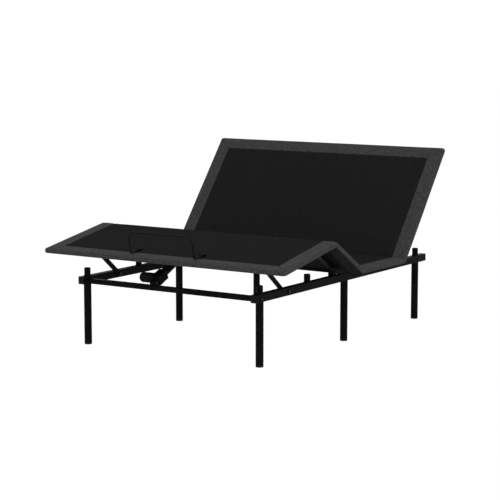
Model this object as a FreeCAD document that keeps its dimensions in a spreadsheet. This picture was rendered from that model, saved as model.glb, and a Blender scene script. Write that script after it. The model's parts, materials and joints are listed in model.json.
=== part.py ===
import FreeCAD, Part
import Sketcher
import math
import os
import re

# Queen-size adjustable bed base, stored with the head and the legs raised.
# X runs across the bed, Y from the foot to the head, Z up; the origin is on the floor
# under the middle of the stored shape. Lengths are millimetres, angles are degrees.

DIMENSIONS = {
    # deck
    "deck_width": 1511.0,
    "head_length": 736.0,
    "seat_length": 457.0,
    "thigh_length": 317.7,
    "calf_length": 499.0,
    "deck_height": 428.0,
    "cover_thickness": 5.0,
    "board_thickness": 12.0,
    "roll_thickness": 27.0,
    "side_roll_width": 82.0,
    "end_roll_width": 74.0,
    # stored angles above the horizontal
    "head_angle": 51.8,
    "thigh_angle": 31.9,
    "calf_angle": 10.2,
    # fold pivots, below the top of the deck
    "fold_depth": 13.0,
    "knee_depth": 22.0,
    "fold_setback": 8.0,
    "knee_setback": 6.0,
    "board_setback": 14.0,
    # side rails, legs and crossbars
    "rail_length": 1783.0,
    "rail_width": 34.0,
    "rail_height": 40.0,
    "rail_wall": 2.0,
    "rail_bottom": 328.0,
    "rail_spacing": 1088.0,
    "rail_foot_overhang": 52.0,
    "foot_leg_to_seat": 666.0,
    "leg_spacing_foot": 827.0,
    "leg_spacing_head": 807.0,
    "rest_post_offset": 448.0,
    "leg_diameter": 40.0,
    "leg_wall": 2.0,
    "glide_height": 12.0,
    "post_diameter": 34.0,
    "post_wall": 2.0,
    "post_cap_height": 6.0,
    "crossbar_size": 26.0,
    "crossbar_bottom": 330.0,
    "crossbar_wall": 2.0,
    "crossbar_outset": 10.0,
    "bolt_diameter": 8.0,
    # frames under the deck boards
    "frame_tube": 25.0,
    "frame_wall": 1.5,
    "frame_spacing": 1190.0,
    "ear_thickness": 5.0,
    "ear_radius": 9.0,
    "hinge_pin_diameter": 8.0,
    "pin_clearance": 0.05,
    # support struts under the calf section
    "strut_width": 26.0,
    "strut_thickness": 6.0,
    "strut_inset": 24.0,
    "strut_length": 248.3,
    "strut_angle": 38.84,
    "strut_foot_offset": 245.5,
    "strut_pivot_on_calf": 346.5,
    "strut_pivot_depth": 32.0,
    "strut_bolt_diameter": 10.0,
    "strut_stud_diameter": 8.0,
    "strut_slot_width": 10.4,
    "strut_slot_travel": 14.0,
    # actuators
    "actuator_offset": 100.0,
    "actuator_rear_offset": 10.0,
    "actuator_rear_height": 370.0,
    "actuator_tube_diameter": 44.0,
    "actuator_tube_bore": 38.0,
    "actuator_tube_end": 290.0,
    "rod_diameter": 18.0,
    "rod_length": 190.0,
    "gearbox_length": 80.0,
    "gearbox_width": 50.0,
    "gearbox_height": 56.0,
    "motor_diameter": 54.0,
    "motor_drop": 8.0,
    "gearbox_drop": 3.0,
    "motor_length": 86.0,
    "actuator_pin_diameter": 10.0,
    "thigh_arm_reach": 320.0,
    "thigh_arm_drop": 50.0,
    "head_arm_reach": 140.0,
    "head_arm_drop": 60.0,
    # mattress retainer bar
    "retainer_width": 400.0,
    "retainer_height": 125.0,
    "retainer_rod": 8.0,
    "retainer_foot_length": 90.0,
    "retainer_from_foot_edge": 34.0,
    "retainer_corner": 42.0,
}

doc = FreeCAD.newDocument("adjustable_bed_base")
sheet = doc.addObject("Spreadsheet::Sheet", "Dims")
for row, (alias, value) in enumerate(DIMENSIONS.items(), start=1):
    sheet.set("A%d" % row, alias)
    sheet.set("B%d" % row, str(value))
    sheet.setAlias("B%d" % row, alias)
doc.recompute()

D = {alias: float(sheet.get(alias)) for alias in DIMENSIONS}
parts = []

X_AXIS = FreeCAD.Vector(1, 0, 0)
Y_AXIS = FreeCAD.Vector(0, 1, 0)
Z_AXIS = FreeCAD.Vector(0, 0, 1)


def bind(text):
    """Turn an expression over the sheet's aliases into a FreeCAD expression."""
    return re.sub(r"[a-z_]{4,}", lambda word: "Dims." + word.group(0), str(text))


def place_by(obj, x, y, z):
    for axis, text in zip("xyz", (x, y, z)):
        obj.setExpression("Placement.Base." + axis, bind(text))
    return obj


def box(size, corner):
    obj = doc.addObject("Part::Box", "Block")
    for prop, text in zip(("Length", "Width", "Height"), size):
        obj.setExpression(prop, bind(text))
    return place_by(obj, *corner)


TURNS = {
    "x": FreeCAD.Rotation(Y_AXIS, 90),
    "y": FreeCAD.Rotation(X_AXIS, -90),
    "z": FreeCAD.Rotation(),
}


def cylinder(axis, diameter, length, start):
    obj = doc.addObject("Part::Cylinder", "Round")
    obj.setExpression("Radius", bind("(%s) / 2" % diameter))
    obj.setExpression("Height", bind(length))
    obj.Placement = FreeCAD.Placement(FreeCAD.Vector(), TURNS[axis])
    return place_by(obj, *start)


def cone(diameter_low, diameter_high, height, start):
    obj = doc.addObject("Part::Cone", "Taper")
    obj.setExpression("Radius1", bind("(%s) / 2" % diameter_low))
    obj.setExpression("Radius2", bind("(%s) / 2" % diameter_high))
    obj.setExpression("Height", bind(height))
    return place_by(obj, *start)


def fuse(*shapes):
    obj = doc.addObject("Part::MultiFuse", "Welded")
    obj.Shapes = list(shapes)
    obj.Refine = True
    return obj


def cut(base, *tools):
    for tool in tools:
        obj = doc.addObject("Part::Cut", "Cutout")
        obj.Base = base
        obj.Tool = tool
        base = obj
    return base


def group(*shapes):
    obj = doc.addObject("Part::Compound", "Set")
    obj.Links = list(shapes)
    return obj


def node(label, obj, frame):
    """Name a finished sub-part and put it in its section's frame."""
    obj.Label = label
    obj.Placement = frame
    parts.append(obj)
    return obj


def origin_plane(body, role):
    return next(plane for plane in body.Origin.OriginFeatures if plane.Role == role)


def centred_rectangle(sketch, width, height):
    """Add a rectangle about the sketch's origin, with its size bound to the sheet."""
    first = sketch.GeometryCount
    corners = [(-1, -1), (1, -1), (1, 1), (-1, 1)]
    for index, corner in enumerate(corners):
        following = corners[(index + 1) % 4]
        start = FreeCAD.Vector(corner[0], corner[1], 0)
        sketch.addGeometry(Part.LineSegment(start, FreeCAD.Vector(following[0], following[1], 0)))
    for index in range(4):
        following = (index + 1) % 4
        sketch.addConstraint(Sketcher.Constraint("Coincident", first + index, 2, first + following, 1))
        direction = "Horizontal" if index % 2 == 0 else "Vertical"
        sketch.addConstraint(Sketcher.Constraint(direction, first + index))
    sketch.addConstraint(Sketcher.Constraint("Symmetric", first, 1, first + 2, 1, -1, 1))
    for kind, line, text in (("DistanceX", first, width), ("DistanceY", first + 1, height)):
        number = sketch.addConstraint(Sketcher.Constraint(kind, line, 1, line, 2, 2.0))
        sketch.setExpression("Constraints[%d]" % number, bind(text))


def profile_body(role, rectangles, length, reverse=False):
    """Pad centred rectangles, nested ones as hollows, away from an origin plane."""
    body = doc.addObject("PartDesign::Body", "Body")
    sketch = body.newObject("Sketcher::SketchObject", "Profile")
    sketch.AttachmentSupport = (origin_plane(body, role), [""])
    sketch.MapMode = "FlatFace"
    for width, height in rectangles:
        centred_rectangle(sketch, width, height)
    doc.recompute()
    pad = body.newObject("PartDesign::Pad", "Pad")
    pad.Profile = sketch
    pad.setExpression("Length", bind(length))
    pad.Reversed = reverse
    body.Tip = pad
    return body


def tube_along_x(width, wall, length):
    inner = "%s - 2 * %s" % (width, wall)
    return profile_body("YZ_Plane", [(width, width), (inner, inner)], length)


def tube_along_y(width, height, wall, length):
    hollow = ("%s - 2 * %s" % (width, wall), "%s - 2 * %s" % (height, wall))
    return profile_body("XZ_Plane", [(width, height), hollow], length, reverse=True)


# Section frames. Each has its origin on the section's own pivot line, or for the base on
# the floor at the foot legs, and is turned by the stored angle.

def frame_at(y, z, degrees=0.0, x=0.0):
    return FreeCAD.Placement(FreeCAD.Vector(x, y, z), FreeCAD.Rotation(X_AXIS, degrees))


fold_height = D["deck_height"] - D["fold_depth"]
rail_centre = D["rail_bottom"] + D["rail_height"] / 2
head_leg = D["leg_spacing_foot"] + D["leg_spacing_head"]
thigh_fold = frame_at(D["foot_leg_to_seat"], fold_height, -D["thigh_angle"])
knee_drop = D["fold_depth"] - D["knee_depth"]
knee_bend = frame_at(-D["thigh_length"], knee_drop, D["thigh_angle"] + D["calf_angle"])
calf_fold = thigh_fold * knee_bend
foot_edge = calf_fold.multVec(FreeCAD.Vector(0, -D["calf_length"], D["knee_depth"])).y
END_CAP = 2.5
rail_end = D["rail_length"] - D["rail_foot_overhang"] + END_CAP
base = frame_at(-(foot_edge + rail_end) / 2, 0)
seat = base * frame_at(D["foot_leg_to_seat"], fold_height)
head = base * frame_at(D["foot_leg_to_seat"] + D["seat_length"], fold_height, D["head_angle"])
thigh = base * thigh_fold
calf = base * calf_fold

SIDES = {"left": -1, "right": 1}


def mirrored(sign, near, width):
    """Lower X of a block that starts near from the middle on one side of the bed."""
    return near if sign > 0 else "-(%s) - (%s)" % (near, width)


# Base frame: rails, posts, legs and crossbars.

LEG_NAMES = {"foot": "0", "mid": "leg_spacing_foot", "head": "leg_spacing_foot + leg_spacing_head"}
POST_LINES = ["0", "rest_post_offset", "leg_spacing_foot", "leg_spacing_foot + leg_spacing_head"]
CROSSBAR_LINES = {
    "foot": "-crossbar_outset",
    "head": "leg_spacing_foot + leg_spacing_head + crossbar_outset",
}
RAIL_MIDDLE = "rail_bottom + rail_height / 2"
RAIL_TOP = "rail_bottom + rail_height"
CROSSBAR_MIDDLE = "crossbar_bottom + crossbar_size / 2"
RAIL_INNER = "rail_spacing / 2 - rail_width / 2"
RAIL_OUTER = "rail_spacing / 2 + rail_width / 2"
STUD_DIAMETER = "10"


def side_rail(side, sign):
    centre = "%d * rail_spacing / 2" % sign
    rail = tube_along_y("rail_width", "rail_height", "rail_wall", "rail_length")
    place_by(rail, centre, "-rail_foot_overhang", RAIL_MIDDLE)
    start = "%s - rail_width" % centre
    drills = []
    for line in CROSSBAR_LINES.values():
        size = "bolt_diameter + 2 * pin_clearance"
        drills.append(cylinder("x", size, "2 * rail_width", (start, line, CROSSBAR_MIDDLE)))
    size = "strut_bolt_diameter + 2 * pin_clearance"
    drills.append(cylinder("x", size, "2 * rail_width", (start, "strut_foot_offset", RAIL_MIDDLE)))
    for line in LEG_NAMES.values():
        size = STUD_DIAMETER + " + 2 * pin_clearance"
        drills.append(cylinder("z", size, "3 * rail_wall", (centre, line, "rail_bottom - rail_wall")))
    node("side_rail_" + side, cut(rail, *drills), base)


def rail_end_caps():
    plugs = []
    for sign in SIDES.values():
        for outward, line in ((-1, "-rail_foot_overhang"), (1, "rail_length - rail_foot_overhang")):
            cap_y = line if outward > 0 else "%s - %s" % (line, END_CAP)
            plug_y = "%s - 14" % line if outward > 0 else line
            left = "%d * rail_spacing / 2 - rail_width / 2" % sign
            cap = box(("rail_width", END_CAP, "rail_height"), (left, cap_y, "rail_bottom"))
            plug_size = ("rail_width - 2 * rail_wall - 0.2", "14", "rail_height - 2 * rail_wall - 0.2")
            corner = (left + " + rail_wall + 0.1", plug_y, "rail_bottom + rail_wall + 0.1")
            plugs.append(fuse(cap, box(plug_size, corner)))
    node("rail_end_caps", group(*plugs), base)


def rest_posts(side, sign):
    centre = "%d * rail_spacing / 2" % sign
    height = "deck_height - cover_thickness - board_thickness - 0.5 - post_cap_height - (%s)" % RAIL_TOP
    posts = []
    for line in POST_LINES:
        outer = cylinder("z", "post_diameter", height, (centre, line, RAIL_TOP))
        bore = cylinder("z", "post_diameter - 2 * post_wall", height, (centre, line, RAIL_TOP))
        posts.append(cut(outer, bore))
    node("rest_posts_" + side, group(*posts), base)


def post_caps():
    bottom = "deck_height - cover_thickness - board_thickness - 0.5 - post_cap_height"
    caps = []
    for sign in SIDES.values():
        for line in POST_LINES:
            centre = "%d * rail_spacing / 2" % sign
            disc = cylinder("z", "post_diameter", "post_cap_height - 3", (centre, line, bottom))
            crown_spot = (centre, line, bottom + " + post_cap_height - 3")
            crown = cone("post_diameter", "post_diameter - 6", "3", crown_spot)
            plug_size = "post_diameter - 2 * post_wall - 0.2"
            plug = cylinder("z", plug_size, "12", (centre, line, bottom + " - 12"))
            caps.append(fuse(disc, crown, plug))
    node("post_caps", group(*caps), base)


def leg(place_name, line, side, sign):
    centre = "%d * rail_spacing / 2" % sign
    tube = cylinder("z", "leg_diameter", "rail_bottom - glide_height", (centre, line, "glide_height"))
    hollow_size = "leg_diameter - 2 * leg_wall"
    hollow = cylinder("z", hollow_size, "rail_bottom - glide_height - 5", (centre, line, "glide_height"))
    stud = cylinder("z", STUD_DIAMETER, "24", (centre, line, "rail_bottom - 2"))
    node("leg_%s_%s" % (place_name, side), fuse(cut(tube, hollow), stud), base)


def leg_sets():
    glides = []
    nuts = []
    for line in LEG_NAMES.values():
        for sign in SIDES.values():
            centre = "%d * rail_spacing / 2" % sign
            foot = cone("leg_diameter - 4", "leg_diameter", "2", (centre, line, "0"))
            body = cylinder("z", "leg_diameter", "glide_height - 2", (centre, line, "2"))
            plug_size = "leg_diameter - 2 * leg_wall - 0.2"
            plug = cylinder("z", plug_size, "18", (centre, line, "glide_height"))
            glides.append(fuse(foot, body, plug))
            nut = cylinder("z", "17", "8", (centre, line, "rail_bottom + rail_wall"))
            thread_size = STUD_DIAMETER + " + 2 * pin_clearance"
            thread = cylinder("z", thread_size, "8", (centre, line, "rail_bottom + rail_wall"))
            nuts.append(cut(nut, thread))
    node("leg_glides", group(*glides), base)
    node("leg_nuts", group(*nuts), base)


CLEVIS_GAP = 11
CLEVIS_PLATE = 5
CLEVIS_RADIUS = 12


def crossbar(end):
    """A square crossbar with end plates and the two welded ears of its actuator clevis."""
    line = CROSSBAR_LINES[end]
    bar = tube_along_x("crossbar_size", "crossbar_wall", "rail_spacing - rail_width")
    place_by(bar, "-(%s)" % RAIL_INNER, line, CROSSBAR_MIDDLE)
    pieces = [bar]
    inner = "crossbar_size - 2 * crossbar_wall"
    drills = []
    for sign in SIDES.values():
        corner_y = "%s - (%s) / 2" % (line, inner)
        corner_z = "crossbar_bottom + crossbar_wall"
        corner = (mirrored(sign, RAIL_INNER + " - 4", "4"), corner_y, corner_z)
        pieces.append(box(("4", inner, inner), corner))
        start = "%d * rail_spacing / 2 - rail_width" % sign
        size = "bolt_diameter + 2 * pin_clearance"
        drills.append(cylinder("x", size, "2 * rail_width", (start, line, CROSSBAR_MIDDLE)))
    middle = "-actuator_offset" if end == "foot" else "actuator_offset"
    pin_line = "-actuator_rear_offset" if end == "foot" else CROSSBAR_LINES["head"]
    top = "crossbar_bottom + crossbar_size"
    for sign in SIDES.values():
        left = "%s + %s" % (middle, CLEVIS_GAP if sign > 0 else -CLEVIS_GAP - CLEVIS_PLATE)
        size = (CLEVIS_PLATE, 2 * CLEVIS_RADIUS, "actuator_rear_height - (%s) + 0.5" % top)
        ear = box(size, (left, "%s - %d" % (pin_line, CLEVIS_RADIUS), top + " - 0.5"))
        eye = cylinder("x", 2 * CLEVIS_RADIUS, CLEVIS_PLATE, (left, pin_line, "actuator_rear_height"))
        pieces += [ear, eye]
    size = "actuator_pin_diameter + 2 * pin_clearance"
    drills.append(cylinder("x", size, "60", (middle + " - 30", pin_line, "actuator_rear_height")))
    node(end + "_crossbar", cut(fuse(*pieces), *drills), base)


def frame_bolts():
    """Crossbar bolts and strut pivot bolts, each with its nut run up on the thread."""
    bolts = []
    for sign in SIDES.values():
        for line in CROSSBAR_LINES.values():
            shank = cylinder("x", "bolt_diameter", "rail_width + 10.3",
                             (mirrored(sign, RAIL_INNER + " - 10", "rail_width + 10.3"),
                              line, CROSSBAR_MIDDLE))
            bolt_head = cylinder("x", "14", "5", (mirrored(sign, RAIL_OUTER, "5"), line, CROSSBAR_MIDDLE))
            nut = cylinder("x", "13", "6", (mirrored(sign, RAIL_INNER + " - 10", "6"), line, CROSSBAR_MIDDLE))
            bolts.append(fuse(shank, bolt_head, nut))
        line = "strut_foot_offset"
        length = "rail_spacing / 2 + rail_width / 2 - (rail_spacing / 2 - strut_inset) + 9"
        near = "rail_spacing / 2 - strut_inset - 8.5"
        spot = (mirrored(sign, near, length), line, RAIL_MIDDLE)
        shank = cylinder("x", "strut_bolt_diameter", length, spot)
        bolt_head = cylinder("x", "17", "6", (mirrored(sign, RAIL_OUTER, "6"), line, RAIL_MIDDLE))
        gap = "strut_inset - rail_width / 2 - strut_thickness - 0.3"
        washer_near = "rail_spacing / 2 - strut_inset + strut_thickness + 0.3"
        washer = cylinder("x", "20", gap, (mirrored(sign, washer_near, gap), line, RAIL_MIDDLE))
        nut = cylinder("x", "17", "8", (mirrored(sign, near, "8"), line, RAIL_MIDDLE))
        bolts.append(fuse(shank, bolt_head, washer, nut))
    node("frame_bolts", group(*bolts), base)


def seat_brackets():
    """Short channels that lift the two seat cross tubes off the rails."""
    height = "deck_height - cover_thickness - board_thickness - frame_tube - (%s)" % RAIL_TOP
    brackets = []
    for sign in SIDES.values():
        for line in SEAT_CROSS_LINES:
            left = "%d * rail_spacing / 2 - rail_width / 2" % sign
            low = "foot_leg_to_seat + (%s) - frame_tube / 2" % line
            outer = box(("rail_width", "frame_tube", height), (left, low, RAIL_TOP))
            hollow_size = ("rail_width", "frame_tube - 8", height + " - 4")
            hollow = box(hollow_size, (left, low + " + 4", RAIL_TOP))
            brackets.append(cut(outer, hollow))
    node("seat_brackets", group(*brackets), base)


# Deck sections: side tubes with hinge ears, cross tubes, board and upholstery.

SEAT_CROSS_LINES = ["34", "seat_length - 34"]
BOARD_BOTTOM = "cover_thickness + board_thickness"
TUBE_FACE = "frame_spacing / 2 + frame_tube / 2"
EAR_REACH = 75
EAR_GAP = 0.5
EAR_ROOT = 45


def cross_tube(top, line):
    tube = tube_along_x("frame_tube", "frame_wall", "frame_spacing - frame_tube")
    height = "%s - (%s) - frame_tube / 2" % (top, BOARD_BOTTOM)
    return place_by(tube, "-(frame_spacing - frame_tube) / 2", line, height)


def hinge_ear(sign, toward, pivot_y, pivot_z, top, moving):
    """Plate on the outside of a side tube with an eye on the pivot line.

    The plate runs toward +Y or -Y from the pivot; a moving section's ear stands outside
    the ear that it turns on, with a spacer back to its own tube.
    """
    near = TUBE_FACE if not moving else TUBE_FACE + " + ear_thickness + %s" % EAR_GAP
    left = mirrored(sign, near, "ear_thickness")
    low = "%s - (%s) - frame_tube + 3" % (top, BOARD_BOTTOM)
    plate_top = "%s - (%s) - 0.5" % (top, BOARD_BOTTOM)
    start = pivot_y if toward > 0 else "%s - %d" % (pivot_y, EAR_REACH)
    plate = box(("ear_thickness", EAR_REACH, "(%s) - (%s)" % (plate_top, low)), (left, start, low))
    eye = cylinder("x", "2 * ear_radius", "ear_thickness", (left, pivot_y, pivot_z))
    pieces = [plate, eye]
    if moving:
        root = "%s + %d" % (pivot_y, EAR_REACH - EAR_ROOT) if toward > 0 else start
        spacer_size = ("ear_thickness + %s" % EAR_GAP, EAR_ROOT, "(%s) - (%s)" % (plate_top, low))
        spacer_left = mirrored(sign, TUBE_FACE, spacer_size[0])
        pieces.append(box(spacer_size, (spacer_left, root, low)))
    size = "hinge_pin_diameter + 2 * pin_clearance"
    bore_start = mirrored(sign, TUBE_FACE + " - 10", "40")
    bore = cylinder("x", size, "40", (bore_start, pivot_y, pivot_z))
    return pieces, bore


def side_tube(label, sign, frame, top, start, length, ears):
    tube = tube_along_y("frame_tube", "frame_tube", "frame_wall", length)
    height = "%s - (%s) - frame_tube / 2" % (top, BOARD_BOTTOM)
    place_by(tube, "%d * frame_spacing / 2" % sign, start, height)
    pieces = [tube]
    bores = []
    for toward, pivot_y, pivot_z, moving in ears:
        shapes, bore = hinge_ear(sign, toward, pivot_y, pivot_z, top, moving)
        pieces += shapes
        bores.append(bore)
    node(label, cut(fuse(*pieces), *bores), frame)


def hinge_pins(label, frame, pivot_lines):
    pins = []
    for sign in SIDES.values():
        for pivot_y, pivot_z in pivot_lines:
            length = "2 * ear_thickness + %s + 4" % (EAR_GAP + 0.3)
            near = TUBE_FACE + " - 2"
            spot = (mirrored(sign, near, length), pivot_y, pivot_z)
            shank = cylinder("x", "hinge_pin_diameter", length, spot)
            head_near = TUBE_FACE + " + 2 * ear_thickness + %s" % (EAR_GAP + 0.3)
            pin_head = cylinder("x", "13", "3", (mirrored(sign, head_near, "3"), pivot_y, pivot_z))
            pins.append(fuse(shank, pin_head))
    node(label, group(*pins), frame)


def board(label, frame, top, start, length):
    """Plywood panel between the edge rolls."""
    width = "deck_width - 2 * side_roll_width - 1"
    panel = profile_body("XZ_Plane", [(width, "board_thickness")], length, reverse=True)
    height = "%s - cover_thickness - board_thickness / 2" % top
    place_by(panel, "0", start, height)
    node(label, group(panel), frame)


def cover(label, frame, top, start, length, low_roll, high_roll):
    """Upholstered top with thick rolled edges on its free sides."""
    low = "%s - roll_thickness" % top
    outer = box(("deck_width", length, "roll_thickness"), ("-deck_width / 2", start, low))
    width = "deck_width - 2 * side_roll_width"
    inner_start = "%s + end_roll_width" % start if low_roll else "%s - 1" % start
    shorter = "(%s) - end_roll_width + 1" % length
    inner_length = shorter if (low_roll or high_roll) else "(%s) + 2" % length
    hollow_size = (width, inner_length, "roll_thickness - cover_thickness + 1")
    hollow = box(hollow_size, ("-(%s) / 2" % width, inner_start, low + " - 1"))
    node(label, cut(outer, hollow), frame)


def seat_section():
    top = "fold_depth"
    ears = [(1, "0", "0", False), (-1, "seat_length", "0", False)]
    for side, sign in SIDES.items():
        side_tube("seat_side_tube_" + side, sign, seat, top, "10", "seat_length - 20", ears)
    for name, line in zip(("front", "rear"), SEAT_CROSS_LINES):
        node("seat_cross_tube_" + name, group(cross_tube(top, line)), seat)
    hinge_pins("deck_hinge_pins", seat, [("0", "0"), ("seat_length", "0")])
    board("seat_board", seat, top, "board_setback", "seat_length - 2 * board_setback")
    cover("seat_cover", seat, top, "fold_setback", "seat_length - 2 * fold_setback", False, False)


def lift_arm(middle, line, reach, drop, top):
    """Two plates down from a cross tube to the actuator's front pin."""
    tube_bottom = "%s - (%s) - frame_tube" % (top, BOARD_BOTTOM)
    pieces = []
    for near in (CLEVIS_GAP, -CLEVIS_GAP - CLEVIS_PLATE):
        left = "%s + %s" % (middle, near)
        low_y = "min(%s; %s) - 12" % (line, reach)
        width = "abs((%s) - (%s)) + 24" % (line, reach)
        plate_size = (CLEVIS_PLATE, width, "(%s) + (%s) + 4" % (tube_bottom, drop))
        plate = box(plate_size, (left, low_y, "-(%s)" % drop))
        eye = cylinder("x", 24, CLEVIS_PLATE, (left, reach, "-(%s)" % drop))
        pieces += [plate, eye]
    size = "actuator_pin_diameter + 2 * pin_clearance"
    bore = cylinder("x", size, "60", (middle + " - 30", reach, "-(%s)" % drop))
    return pieces, bore


def actuator_pin(middle, line, height):
    length = 2 * (CLEVIS_GAP + CLEVIS_PLATE) + 4
    shank = cylinder("x", "actuator_pin_diameter", length, ("%s - %s" % (middle, length / 2), line, height))
    pin_head = cylinder("x", "16", "3", ("%s + %s" % (middle, length / 2 - 1), line, height))
    return fuse(shank, pin_head)


HEAD_CROSS_UPPER = "head_length - 120"
THIGH_CROSS = "-(thigh_length - 26)"


def head_section():
    top = "fold_depth"
    for side, sign in SIDES.items():
        ears = [(1, "0", "0", True)]
        side_tube("head_side_tube_" + side, sign, head, top, "10", "head_length - end_roll_width - 14", ears)
    arms, bore = lift_arm("actuator_offset", "head_arm_reach", "head_arm_reach", "head_arm_drop", top)
    lower = fuse(cross_tube(top, "head_arm_reach"), *arms)
    node("head_lift_crossmember", cut(lower, bore), head)
    node("head_cross_tube", group(cross_tube(top, HEAD_CROSS_UPPER)), head)
    node("head_lift_pin", actuator_pin("actuator_offset", "head_arm_reach", "-head_arm_drop"), head)
    board("head_board", head, top, "board_setback", "head_length - board_setback - end_roll_width - 1")
    cover("head_cover", head, top, "fold_setback", "head_length - fold_setback", False, True)


def thigh_section():
    top = "fold_depth"
    knee = ("-thigh_length", "fold_depth - knee_depth")
    for side, sign in SIDES.items():
        ears = [(-1, "0", "0", True), (1, knee[0], knee[1], False)]
        start = "-thigh_length + board_setback"
        length = "thigh_length - board_setback - 10"
        side_tube("thigh_side_tube_" + side, sign, thigh, top, start, length, ears)
    reach = "-thigh_arm_reach"
    arms, bore = lift_arm("-actuator_offset", THIGH_CROSS, reach, "thigh_arm_drop", top)
    node("thigh_lift_crossmember", cut(fuse(cross_tube(top, THIGH_CROSS), *arms), bore), thigh)
    node("thigh_lift_pin", actuator_pin("-actuator_offset", reach, "-thigh_arm_drop"), thigh)
    hinge_pins("knee_hinge_pins", thigh, [knee])
    length = "thigh_length - 2 * board_setback"
    board("thigh_board", thigh, top, "-thigh_length + board_setback", length)
    length = "thigh_length - knee_setback - fold_setback"
    cover("thigh_cover", thigh, top, "-thigh_length + knee_setback", length, False, False)


def strut_bracket(sign, top):
    """Plate on the calf cross tube, slotted for the stud at the top of the strut."""
    left = mirrored(sign, "rail_spacing / 2 - strut_inset - 10", "ear_thickness")
    pin_z = "%s - strut_pivot_depth" % top
    start = "-strut_pivot_on_calf - 37.5"
    plate_top = "%s - (%s) - 0.5" % (top, BOARD_BOTTOM)
    plate = box(("ear_thickness", "60", "32"), (left, start, plate_top + " - 32"))
    slot_y = "-strut_pivot_on_calf - 4.5"
    slot_left = mirrored(sign, "rail_spacing / 2 - strut_inset - 20", "30")
    corner = (slot_left, slot_y, pin_z + " - strut_slot_width / 2")
    slot = box(("30", "strut_slot_travel", "strut_slot_width"), corner)
    low_end = cylinder("x", "strut_slot_width", "30", (slot_left, slot_y, pin_z))
    high_end = cylinder("x", "strut_slot_width", "30", (slot_left, slot_y + " + strut_slot_travel", pin_z))
    return plate, [slot, low_end, high_end]


def calf_section():
    top = "knee_depth"
    for side, sign in SIDES.items():
        ears = [(-1, "0", "0", True)]
        start = "-calf_length + end_roll_width + 4"
        length = "calf_length - end_roll_width - 4 - board_setback"
        side_tube("calf_side_tube_" + side, sign, calf, top, start, length, ears)
    pieces = [cross_tube(top, "-strut_pivot_on_calf - 50")]
    cuts = []
    for sign in SIDES.values():
        plate, slots = strut_bracket(sign, top)
        pieces.append(plate)
        cuts += slots
    node("calf_strut_crossmember", cut(fuse(*pieces), *cuts), calf)
    length = "calf_length - board_setback - end_roll_width - 1"
    board("calf_board", calf, top, "-calf_length + end_roll_width + 1", length)
    cover("calf_cover", calf, top, "-calf_length", "calf_length - knee_setback", True, False)


def support_strut(side, sign):
    frame = base * frame_at(D["strut_foot_offset"], rail_centre, -D["strut_angle"])
    left = mirrored(sign, "rail_spacing / 2 - strut_inset", "strut_thickness")
    size = ("strut_thickness", "strut_length", "strut_width")
    bar = box(size, (left, "-strut_length", "-strut_width / 2"))
    lower_eye = cylinder("x", "strut_width", "strut_thickness", (left, "0", "0"))
    upper_eye = cylinder("x", "strut_width", "strut_thickness", (left, "-strut_length", "0"))
    stud_length = "ear_thickness + 9"
    stud_left = mirrored(sign, "rail_spacing / 2 - strut_inset - 13", stud_length)
    stud = cylinder("x", "strut_stud_diameter", stud_length, (stud_left, "-strut_length", "0"))
    disc_left = mirrored(sign, "rail_spacing / 2 - strut_inset - 13", "2.5")
    disc = cylinder("x", "16", "2.5", (disc_left, "-strut_length", "0"))
    bore = cylinder("x", "strut_bolt_diameter + 2 * pin_clearance", "40",
                    (mirrored(sign, "rail_spacing / 2 - strut_inset - 15", "40"), "0", "0"))
    node("support_strut_" + side, cut(fuse(bar, lower_eye, upper_eye, stud, disc), bore), frame)


# Linear actuators: the tube, gearbox and motor tilt on the crossbar's clevis, and the rod
# turns on the lift arm and slides in the tube.

def actuator_frames(rear, front, middle, turned):
    run = front - rear
    tilt = math.degrees(math.atan2(run.z, abs(run.y)))
    turn = FreeCAD.Rotation(Z_AXIS, 180 if turned else 0)
    rotation = turn * FreeCAD.Rotation(X_AXIS, tilt)
    rear.x = front.x = middle
    return FreeCAD.Placement(rear, rotation), FreeCAD.Placement(front, rotation)


def actuator(end, rear_frame, front_frame):
    gearbox_start = 18
    edge_radius = 8.0
    half_width = "gearbox_width / 2"
    block = box(("gearbox_width", "gearbox_length", "gearbox_height"),
                ("-" + half_width, gearbox_start, "-gearbox_height / 2 - gearbox_drop"))
    edges = doc.addObject("Part::Fillet", "Rounded")
    edges.Base = block
    doc.recompute()
    edges.Edges = [(number + 1, edge_radius, edge_radius) for number in range(len(block.Shape.Edges))]
    lug = box(("20", "20", "24"), ("-10", "0", "-12"))
    eye = cylinder("x", "24", "20", ("-10", "0", "0"))
    bore = cylinder("x", "actuator_pin_diameter + 2 * pin_clearance", "60", ("-30", "0", "0"))
    tube_start = "%s + gearbox_length - 20" % gearbox_start
    socket = cylinder("y", "actuator_tube_diameter", "40", ("0", tube_start, "0"))
    housing = cut(fuse(edges, lug, eye), bore, socket)
    node(end + "_actuator_gearbox", housing, rear_frame)

    length = "actuator_tube_end - (%s)" % tube_start
    tube = cylinder("y", "actuator_tube_diameter", length, ("0", tube_start, "0"))
    hollow = cylinder("y", "actuator_tube_bore", length, ("0", tube_start + " + 4", "0"))
    node(end + "_actuator_tube", cut(tube, hollow), rear_frame)

    motor_y = "%s + gearbox_length / 2 - 7" % gearbox_start
    can_spot = ("-%s - motor_length + 8" % half_width, motor_y, "-motor_drop")
    can = cylinder("x", "motor_diameter", "motor_length - 8", can_spot)
    bell_spot = ("-%s - motor_length" % half_width, motor_y, "-motor_drop")
    end_bell = cylinder("x", "motor_diameter - 8", "8", bell_spot)
    node(end + "_actuator_motor", fuse(can, end_bell), rear_frame)

    rod = cylinder("y", "rod_diameter", "rod_length - 8", ("0", "-rod_length", "0"))
    tip = cylinder("x", "24", "20", ("-10", "0", "0"))
    rod_bore = cylinder("x", "actuator_pin_diameter + 2 * pin_clearance", "60", ("-30", "0", "0"))
    node(end + "_actuator_rod", cut(fuse(rod, tip), rod_bore), front_frame)


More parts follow.
